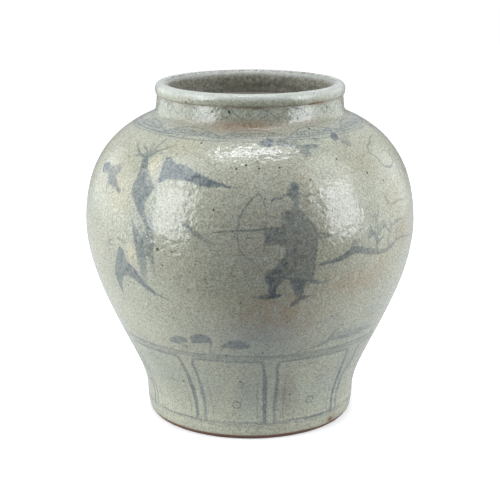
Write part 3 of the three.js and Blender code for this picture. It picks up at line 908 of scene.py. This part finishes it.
def paint(piece, places):
    """Stores, for each layer of marks, how deep each point of the piece lies in the deepest mark, that
    mark's strength, the offset from its middle line, and its half width. Between two points on either side
    of a thin stroke the offset runs through 0, so the stroke stays sharp where the points lie further apart
    than its width."""
    along = up_the_side(places["height"])
    layers = {layer: [0 * along + FAR, 0 * along, 0 * along] for layer in ("line", "wash", "iron")}
    for mark in marks:
        low, high = mark["line"].min(0), mark["line"].max(0)
        middle = (low[0] + high[0]) / 2
        turn = (places["angle"] - middle + np.pi) % (2 * np.pi) - np.pi
        reach = -FAR + mark["half"].max()
        near = np.abs(turn) * places["radius"] < (high[0] - low[0]) / 2 * places["radius"] + reach
        near &= (along > low[1] - reach) & (along < high[1] + reach) & (places["inside"] == 0)
        at = np.flatnonzero(near)
        if len(at) == 0:
            continue
        shifted = mark | {"line": mark["line"] - [middle, 0]}
        found = depths(shifted, turn[at], along[at], places["radius"][at])
        kept = layers[mark["layer"]]
        deeper = found[0] > kept[0][at]
        for value, new in zip(kept, found):
            value[at[deeper]] = new[deeper]
    for layer, (depth, strength, offset) in layers.items():
        store(piece, f"{layer}_depth", depth)
        store(piece, f"{layer}_strength", strength)
        store(piece, f"{layer}_offset", offset)
        store(piece, f"{layer}_half", depth + np.abs(offset))


glazed = [(lower_bowl, lower_places), (upper_bowl, upper_places), (neck, neck_places)]
for piece, places in glazed:
    paint(piece, places)

# The glaze
# A grey-green celadon, a feldspar and ash glaze with a little iron, poured over all but the foot's edge and
# fired in a smoky kiln. It is glossy but pitted and grained like orange peel, cloudy over the cobalt, warm
# where flame touched it, and brown where it runs thin at the lip's groove and the root of the neck. Its
# colour
# also holds painted light: painted shade on the front's middle, in the groove under the lip and deep in the
# mouth, a painted highlight on the lip's top, and a painted reflection as a bluish tint towards the sides.

WIPED_Z = BARE_EDGE_Z + 1.2  # up to which the foot is wiped, give or take its sway
WIPED_SWAY = 0.7
GROOVE_Z = RIM_Z - LIP_HEIGHT + 0.1
GROOVE_REACH = 1.6
WASH_EDGE = MOUTH_RADIUS + 2.7  # where the inside's slip wash ends, on the lip
EDGE_WEAR = (MOUTH_RADIUS + 2.6, RIM_Z - 0.4)  # the lip's inner edge, where the glaze burst
EDGE_REACH = 1.6
LIP_HIGHLIGHT_Z = RIM_Z - 6.5  # from which the lip's top is painted paler, a painted highlight, and over how much height it grows
LIP_HIGHLIGHT_HEIGHT = 4
LIP_HIGHLIGHT_STRENGTH = 0.55
SHADE_Z = RIM_Z - 5  # from which the inside is darkened with depth as painted shade, deeper in the mouth
SHADE_DEPTH = 34
SHADE_STRENGTH = 0.75
BAND_Z = 268.5  # of the shoulder's painted band, where the glaze is hazed by cobalt
BAND_REACH = 4


def stain(places, patches):
    """Soft patches: the largest of strength times exp(-(x / across)^2 - (y / up)^2), in degrees and mm."""
    total = np.zeros(len(places["angle"]))
    for angle, height, across, up, strength in patches:
        turn = np.degrees((places["angle"] - math.radians(angle) + np.pi) % (2 * np.pi) - np.pi)
        soft = strength * np.exp(-((turn / across) ** 2) - ((places["height"] - height) / up) ** 2)
        total = np.maximum(total, soft)
    return total


# Warmth where the flame touched; the two wide patches on the front's middle, at 9 and 10 degrees, also darken
# it as painted shade.
warm_and_front_shade_patches = [
    (-31, 259, 7, 6, 0.45), (36, 150, 15, 14, 0.8), (27, 158, 6, 6, 0.7), (48, 160, 9, 16, 0.6),
    (9, 128, 18, 26, 1.05), (10, 190, 17, 60, 0.6), (3, 210, 3, 10, 0.6), (20, 238, 5, 10, 0.5),
    (58, 210, 6, 14, 0.6), (62, 182, 8, 16, 0.6), (18, 46, 4, 26, 0.7), (-2, 68, 4, 10, 0.2),
    (45, 245, 10, 14, 0.3), (-55, 232, 12, 26, 0.22), (-58, 160, 10, 30, 0.2), (110, 170, 18, 30, 0.5),
    (160, 120, 16, 22, 0.45), (205, 200, 18, 26, 0.4), (250, 140, 16, 28, 0.45),
]
cream_patches = [
    (-42, 172, 2.6, 10, 0.6), (-38.5, 244, 2.4, 8, 0.6), (-48, 215, 5, 20, 0.3), (120, 210, 8, 20, 0.4),
]
rust_patches = [
    (-4, 274.5, 27, 4.6, 1.1), (34, 275, 14, 3, 0.6), (-34, 275, 12, 2.8, 0.55), (12, 274, 10, 3.6, 0.7),
    (42, 290, 9, 1.7, 1.4), (26, 289.8, 9, 1.5, 0.8), (-36, 289.7, 20, 1.4, 0.75), (50, 6.5, 2.6, 2.8, 1.8),
    (41, 2.5, 2.5, 1.5, 1.2), (180, 276, 30, 3, 0.7), (230, 276, 20, 2.5, 0.5), (100, 276, 16, 2.5, 0.5),
]
# Bluish haze where the cobalt bled; the wide patches on the front's middle, in the last row, are painted
# shade.
haze_and_shade_patches = [
    (0, 45, 8, 30, 0.65), (-20, 50, 8, 26, 0.4), (38, 45, 10, 26, 0.45), (52, 60, 12, 30, 0.5),
    (-45, 60, 14, 26, 0.3), (42, 98, 20, 9, 0.6), (30, 112, 10, 12, 0.35), (56, 112, 10, 16, 0.4),
    (-46, 160, 10, 30, 0.3), (-40, 200, 9, 46, 0.4), (-12, 240, 16, 9, 0.3), (24, 258, 18, 8, 0.35),
    (7, 190, 18, 75, 0.75), (4, 106, 16, 32, 1.0), (16, 45, 10, 24, 0.7),
]
for piece, places in glazed:
    height, angle, radius = places["height"], places["angle"], places["radius"]
    outside = 1 - places["inside"]
    store(piece, "warm_and_front_shade", stain(places, warm_and_front_shade_patches))
    store(piece, "cream", stain(places, cream_patches))
    # Rust patches, and round the groove under the lip a band of painted shade where the lip overhangs it.
    groove = np.exp(-(((height - GROOVE_Z) / GROOVE_REACH) ** 2)) * (0.6 + 0.15 * np.cos(9 * angle))
    store(piece, "rust_and_groove_shade", np.maximum(stain(places, rust_patches), groove * outside))
    under_foot = (height <= RECESS_DEPTH) & (radius < ring_inner + BASE_LEDGE + LOWER_WALL / 2)
    sway = WIPED_SWAY * np.cos(7 * angle + 1) * np.cos(4 * angle)
    store(piece, "bare", (height < WIPED_Z + sway) | under_foot)
    store(piece, "inner_wash", (places["inside"] > 0) | (radius < WASH_EDGE))
    # Painted shade: the inside is darkened further down the mouth.
    shade = np.clip((SHADE_Z - height) / SHADE_DEPTH, 0, SHADE_STRENGTH)
    store(piece, "inner_painted_shade", shade * places["inside"])
    # Painted highlight: the lip's top is made paler towards the rim.
    store(piece, "lip_painted_highlight", outside * LIP_HIGHLIGHT_STRENGTH * np.clip((height - LIP_HIGHLIGHT_Z) / LIP_HIGHLIGHT_HEIGHT, 0, 1))
    edge_gap = np.hypot(radius - EDGE_WEAR[0], height - EDGE_WEAR[1])
    store(piece, "lip_edge", np.exp(-((edge_gap / EDGE_REACH) ** 2)) * (piece == neck))
    band = 0.45 * np.exp(-(((height - BAND_Z) / BAND_REACH) ** 2))
    # Painted reflection: a bluish tint that grows towards the sides as seen from the front.
    haze_shade_and_sheen = np.maximum(stain(places, haze_and_shade_patches), band) + 0.12 * np.sin(angle) ** 2
    on_neck = (height >= neck_root[1]) & (height < RIM_Z - LIP_HEIGHT / 1.5)
    store(piece, "haze_shade_and_sheen", (haze_shade_and_sheen + 0.2 * on_neck) * outside)

celadon, tree = empty_material("celadon glaze on stoneware")
place = add(tree, "TexCoord")["Object"]
stored = {}
for name in (
    "warm_and_front_shade", "cream", "haze_shade_and_sheen", "rust_and_groove_shade", "bare", "inner_wash", "inner_painted_shade",
    "lip_edge", "lip_painted_highlight", "iron_depth",
):
    stored[name] = add(tree, "Attribute", attribute_name=name)["Fac"]

# The glaze's own patterns, each a noise: how wide its blobs are in mm, its detail and roughness, and the
# range that its middle values are stretched to. The grain is drawn coarser than it is, or it wouldn't show.
PATTERNS = {
    "clouds": (45, 3, 0.5, 0.0, 1.0),
    "warm_clouds": (9, 3, 0.5, 0.3, 1.2),
    "grain": (1.6, 3, 0.7, 0.56, 1.4),
    "gloss": (1.6, 3, 0.7, 0.1, 0.2),
    "fray": (2.4, 3, 0.6, -0.8, 0.8),
    "dry_brush": (2, 3, 0.6, -0.35, 0.35),
    "mottle": (4.5, 5, 0.75, 0.42, 1.38),
    "rusty": (2.6, 4, 0.8, 0.2, 1.2),
    "sooty": (4, 4, 0.7, 0.0, 1.0),
    "burst": (1.8, 2, 0.6, -1.4, 1.6),
    "ripple": (3.2, 2, 0.5, 0.0, 0.13),
    "swell": (9, 2, 0.5, 0.0, 0.28),
}
pattern = {}
for name, (width, detail, roughness, low, high) in PATTERNS.items():
    settings = {"Vector": place, "Scale": 1 / (width * MM), "Detail": detail, "Roughness": roughness}
    blobs = add(tree, "TexNoise", settings)["Fac"]
    stretch = {"Value": blobs, "From Min": 0.3, "From Max": 0.7, "To Min": low, "To Max": high}
    pattern[name] = add(tree, "MapRange", stretch, clamp=False)[0]

# Open pits, a scatter of small iron specks, with most cells empty, and crackle, hairlines between its cells.
# Each cell's width is in mm.
PIT_CELL = 2.6
SPECK_CELL = 6
CRACKLE_CELL = 5
pit_cells = add(tree, "TexVoronoi", {"Vector": place, "Scale": 1 / (PIT_CELL * MM)})
pit = {"Value": pit_cells["Distance"], "From Min": 0.05, "From Max": 0.3, "To Min": 1.0, "To Max": 0.0}
pit = add(tree, "MapRange", pit, interpolation_type="SMOOTHSTEP")[0]
speck_cells = add(tree, "TexVoronoi", {"Vector": place, "Scale": 1 / (SPECK_CELL * MM)})
chance = add(tree, "SeparateColor", {"Color": speck_cells["Color"]})[0]
speck_size = {"Value": chance, "From Min": 0.4, "From Max": 1.0, "To Min": 0.0, "To Max": 0.13}
speck_size = add(tree, "MapRange", speck_size)[0]
within = add(tree, "Math", {0: speck_size, 1: speck_cells["Distance"]}, operation="SUBTRACT")[0]
speck = {"Value": within, "From Min": -0.02, "From Max": 0.03, "To Max": 0.8}
speck = add(tree, "MapRange", speck, interpolation_type="SMOOTHSTEP")[0]
cracks = {"Vector": place, "Scale": 1 / (CRACKLE_CELL * MM)}
cracks = add(tree, "TexVoronoi", cracks, feature="DISTANCE_TO_EDGE")["Distance"]
crackle = {"Value": cracks, "From Min": 0.0, "From Max": 0.04, "To Min": 0.22, "To Max": 0.0}
crackle = add(tree, "MapRange", crackle)[0]

# How far each coat covers: its pattern times what the points keep
amount = {}
for name, cloud in {"warm_and_front_shade": "warm_clouds", "rust_and_groove_shade": "rusty", "lip_edge": "burst"}.items():
    clouded = {0: stored[name], 1: pattern[cloud]}
    amount[name] = add(tree, "Math", clouded, operation="MULTIPLY", use_clamp=True)[0]
iron = {"Value": stored["iron_depth"], "From Min": -0.65, "From Max": 0.05, "To Max": 0.85}
amount["iron"] = add(tree, "MapRange", iron, interpolation_type="SMOOTHSTEP")[0]
amount["pit"] = add(tree, "Math", {0: pit, 1: 0.32}, operation="MULTIPLY")[0]

# Cobalt under the glaze: a line's cover is its half width less the offset from its middle, near a mark, which
# keeps it sharp. Washes fray more. The brush's grain and the ground cobalt mottle both.
clear = 1.0
for layer, fray, edge, core in (("line", "dry_brush", -0.4, 0.3), ("wash", "fray", -0.8, 0.8)):
    mark = {}
    for kind in ("depth", "strength", "offset", "half"):
        mark[kind] = add(tree, "Attribute", attribute_name=f"{layer}_{kind}")["Fac"]
    aside = add(tree, "Math", {0: mark["offset"]}, operation="ABSOLUTE")[0]
    depth = add(tree, "Math", {0: mark["half"], 1: aside}, operation="SUBTRACT")[0]
    frayed = add(tree, "Math", {0: depth, 1: pattern[fray]}, operation="ADD")[0]
    cover = {"Value": frayed, "From Min": edge, "From Max": core, "To Max": mark["strength"]}
    cover = add(tree, "MapRange", cover, interpolation_type="SMOOTHSTEP")[0]
    by_a_mark = {"Value": mark["depth"], "From Min": -1.9, "From Max": -0.9}
    by_a_mark = add(tree, "MapRange", by_a_mark, interpolation_type="SMOOTHSTEP")[0]
    cover = add(tree, "Math", {0: cover, 1: by_a_mark}, operation="MULTIPLY")[0]
    left = add(tree, "Math", {0: 1.0, 1: cover}, operation="SUBTRACT")[0]
    clear = add(tree, "Math", {0: clear, 1: left}, operation="MULTIPLY")[0]
ink = add(tree, "Math", {0: 1.0, 1: clear}, operation="SUBTRACT")[0]
ink = add(tree, "Math", {0: ink, 1: pattern["mottle"]}, operation="MULTIPLY", use_clamp=True)[0]

# The colour, coat over coat: two grey-greens in clouds, warmer or creamier where the flame touched and darker
# on the front's middle as painted shade, a bluish haze where the cobalt bled, with more painted shade on the
# front and a painted reflection towards the sides, the cobalt itself, which only filters the light, the
# inside's wash, and then the lip's paler top, a painted highlight, the inside darker further down, painted
# shade, and what came out in the fire, with painted shade in the groove under the lip
colour = {"Fac": pattern["clouds"], "Color1": linear("#b3b39e"), "Color2": linear("#a7a895")}
colour = add(tree, "MixRGB", colour)[0]
inner_colour = {"Fac": pattern["sooty"], "Color1": linear("#b3af99"), "Color2": linear("#66645a")}
inner_colour = add(tree, "MixRGB", inner_colour)[0]
for cover, coat, blend in (
    (amount["warm_and_front_shade"], linear("#a5967c"), "MIX"),
    (stored["cream"], linear("#d2c6a2"), "MIX"),
    (stored["haze_shade_and_sheen"], linear("#dde6f6"), "MULTIPLY"),
    (ink, linear("#8a9bb7"), "MULTIPLY"),
    (stored["inner_wash"], inner_colour, "MIX"),
):
    coat = {"Fac": cover, "Color1": colour, "Color2": coat}
    colour = add(tree, "MixRGB", coat, blend_type=blend)[0]
colour = add(tree, "VectorMath", {0: colour, "Scale": pattern["grain"]}, operation="SCALE")[0]
for cover, coat in (
    (stored["lip_painted_highlight"], linear("#c6cbc6")),
    (stored["inner_painted_shade"], linear("#3c3a33")),
    (crackle, linear("#6e6a5a")),
    (amount["pit"], linear("#4c4a3e")),
    (amount["rust_and_groove_shade"], linear("#745a3e")),
    (speck, linear("#4a3b2c")),
    (amount["iron"], linear("#2b241d")),
    (amount["lip_edge"], linear("#5a4936")),
    (stored["bare"], linear("#6d5241")),
):
    colour = add(tree, "MixRGB", {"Fac": cover, "Color1": colour, "Color2": coat})[0]

# The relief, in mm: orange peel, rippled and swelling as the patterns give, less the pits
PIT_DEPTH = 0.07
relief = add(tree, "Math", {0: pattern["ripple"], 1: pattern["swell"]}, operation="ADD")[0]
relief = add(tree, "Math", {0: pit, 1: -PIT_DEPTH, 2: relief}, operation="MULTIPLY_ADD")[0]
bump = add(tree, "Bump", {"Height": relief, "Strength": 1.0, "Distance": MM})[0]
roughness = pattern["gloss"]
for cover, dull in ((stored["inner_wash"], 0.5), (amount["rust_and_groove_shade"], 0.85), (stored["bare"], 0.8)):
    rough_coat = {0: cover, 1: dull}
    rough_coat = add(tree, "Math", rough_coat, operation="MULTIPLY")[0]
    roughness = add(tree, "Math", {0: roughness, 1: rough_coat}, operation="MAXIMUM")[0]
surface = {"Base Color": colour, "Roughness": roughness, "IOR": 1.6, "Normal": bump}
surface = add(tree, "BsdfPrincipled", surface)[0]
add(tree, "OutputMaterial", {"Surface": surface})
for piece, _ in glazed:
    piece.data.materials.append(celadon)

# The studio
# White paper under the jar, two tall softboxes in front of it to the left and the right, one overhead, two
# high up at the sides, a white sheet and a low fill that doesn't glint on each side, and a pale wall behind.
# The camera looks down into the mouth from the front. All of the studio's sizes are in metres.

FLOOR_RADIUS = 3.0
SHEET_FRONT = 0.235  # how far the paper reaches in front of the jar's axis
SHEET_FADE = 0.3  # over what share of that on either side of its edge it fades
SHADOW_CORE = 0.09  # how near the axis the paper's glow is dimmest, a painted shadow, and how far from it that shadow is gone
SHADOW_RIM = 0.145
AIM_HEIGHT = 0.18
CAMERA_TILT = 15.1  # degrees down
CAMERA_PLACE = (0, -1.18, 0.4645)
CAMERA_LENS = 96.8
# Each: degrees off the front, degrees up, distance, width, height, watts, and whether the glaze mirrors it
SOFTBOXES = (
    ("left_softbox", -54.5, 16, 1.3, 0.6, 1.0, 11.0),
    ("right_softbox", 65, 16, 1.3, 0.58, 1.0, 10.5),
    ("top_softbox", 12, 88, 1.2, 0.7, 0.22, 4.9),
    ("left_high_softbox", -75, 45, 1.5, 0.9, 0.9, 7.2),
    ("right_high_softbox", 75, 45, 1.5, 0.9, 0.9, 5.5),
    ("left_sheet", -107, 5, 1.6, 2.2, 1.2, 10.4),
    ("right_sheet", 107, 5, 1.6, 2.2, 1.2, 9.4),
    ("left_low_fill", -85, -5, 1.6, 1.2, 0.5, 17, False),
    ("right_low_fill", 85, -5, 1.6, 1.2, 0.5, 7.5, False),
)
# A wide lobe of light high on the wall behind and a narrow one low on it: degrees off the front, degrees up,
# the power that tightens it, and its strength
WALL_LOBES = ((180, 45, 4, 0.9), (180, 14, 24, 0.5))
t = np.linspace(0, 2 * np.pi, 96, endpoint=False)
floor_mesh = bpy.data.meshes.new("floor")
floor_ring = np.column_stack([FLOOR_RADIUS * np.cos(t), FLOOR_RADIUS * np.sin(t), 0 * t])
floor_mesh.from_pydata(floor_ring, [], [list(range(len(t)))])
floor = bpy.data.objects.new("floor", floor_mesh)
bpy.context.scene.collection.objects.link(floor)
# White paper: the camera sees it near white, with the jar's shadow, and its glow is dimmed near the jar as a
# painted shadow. It ends a little way in front of the jar, so it throws light up on the sides more than on
# the front.
paper, tree = empty_material("white paper sweep")
place = add(tree, "TexCoord")["Object"]
from_axis = add(tree, "VectorMath", {0: place}, operation="LENGTH")["Value"]
painted_shadow_glow = {"Value": from_axis, "From Min": SHADOW_CORE, "From Max": SHADOW_RIM, "To Min": 0.3, "To Max": 0.8}
painted_shadow_glow = add(tree, "MapRange", painted_shadow_glow)[0]
seen_paper = add(tree, "BsdfDiffuse", {"Color": linear("#f2f2f2")})[0]
seen_glow = add(tree, "Emission", {"Color": linear("#ffffff"), "Strength": painted_shadow_glow})[0]
seen_floor = add(tree, "AddShader", {0: seen_paper, 1: seen_glow})[0]
forward = add(tree, "SeparateXYZ", {"Vector": place})[1]
edge, fade = -SHEET_FRONT, SHEET_FRONT * SHEET_FADE
near = {"Value": forward, "From Min": edge - fade, "From Max": edge + fade}
near = add(tree, "MapRange", near, interpolation_type="SMOOTHSTEP")[0]
thrown = {"Fac": near, "Color1": linear("#101010"), "Color2": linear("#d8d8d8")}
thrown = add(tree, "MixRGB", thrown)[0]
thrown_floor = add(tree, "BsdfDiffuse", {"Color": thrown})[0]
camera_ray = add(tree, "LightPath")["Is Camera Ray"]
whole_floor = add(tree, "MixShader", {0: camera_ray, 1: thrown_floor, 2: seen_floor})[0]
add(tree, "OutputMaterial", {"Surface": whole_floor})
floor_mesh.materials.append(paper)


def towards(azimuth, elevation):
    """The direction (sin a cos e, -cos a cos e, sin e), from degrees off the front and degrees up."""
    a, e = math.radians(azimuth), math.radians(elevation)
    return np.array([math.sin(a) * math.cos(e), -math.cos(a) * math.cos(e), math.sin(e)])


def softbox(name, azimuth, elevation, distance, width, height, power, glints=True):
    """An area light that faces the jar's middle from azimuth degrees off the front, towards +X. One that
    glints is also mirrored in the glaze."""
    lamp = bpy.data.lights.new(name, "AREA")
    lamp.shape = "RECTANGLE"
    lamp.size = width
    lamp.size_y = height
    lamp.energy = power
    lamp.color = linear("#f5f9ff")[:3]
    box = bpy.data.objects.new(name, lamp)
    box.location = towards(azimuth, elevation) * distance + [0, 0, AIM_HEIGHT]
    box.rotation_euler = (math.radians(90 - elevation), 0, math.radians(azimuth))
    box.visible_camera = False
    box.visible_glossy = glints
    bpy.context.scene.collection.objects.link(box)


for lamp in SOFTBOXES:
    softbox(*lamp)

# The wall behind: each lobe is its strength times a power of the cosine to its direction
world = bpy.data.worlds.new("studio")
bpy.context.scene.world = world
world.use_nodes = True
tree = world.node_tree
tree.nodes.clear()
direction = add(tree, "TexCoord")["Generated"]
glow = 0.0
for azimuth, elevation, tightness, strength in WALL_LOBES:
    facing = {0: direction, 1: towards(azimuth, elevation)}
    cosine = add(tree, "VectorMath", facing, operation="DOT_PRODUCT")["Value"]
    cosine = add(tree, "Math", {0: cosine, 1: 0.0}, operation="MAXIMUM")[0]
    lobe = add(tree, "Math", {0: cosine, 1: tightness}, operation="POWER")[0]
    glow = add(tree, "Math", {0: lobe, 1: strength, 2: glow}, operation="MULTIPLY_ADD")[0]
wall_light = add(tree, "Background", {"Color": linear("#fafaff"), "Strength": glow})[0]
white = add(tree, "Background", {"Color": linear("#ffffff"), "Strength": 1.0})[0]
camera_ray = add(tree, "LightPath")["Is Camera Ray"]
background = add(tree, "MixShader", {0: camera_ray, 1: wall_light, 2: white})[0]
add(tree, "OutputWorld", {"Surface": background})

camera_data = bpy.data.cameras.new("camera")
camera_data.lens = CAMERA_LENS
camera_data.sensor_width = 36
camera = bpy.data.objects.new("camera", camera_data)
camera.location = CAMERA_PLACE
camera.rotation_euler = (math.radians(90 - CAMERA_TILT), 0, 0)
bpy.context.scene.collection.objects.link(camera)
bpy.context.scene.camera = camera
bpy.context.scene.view_settings.view_transform = "Standard"
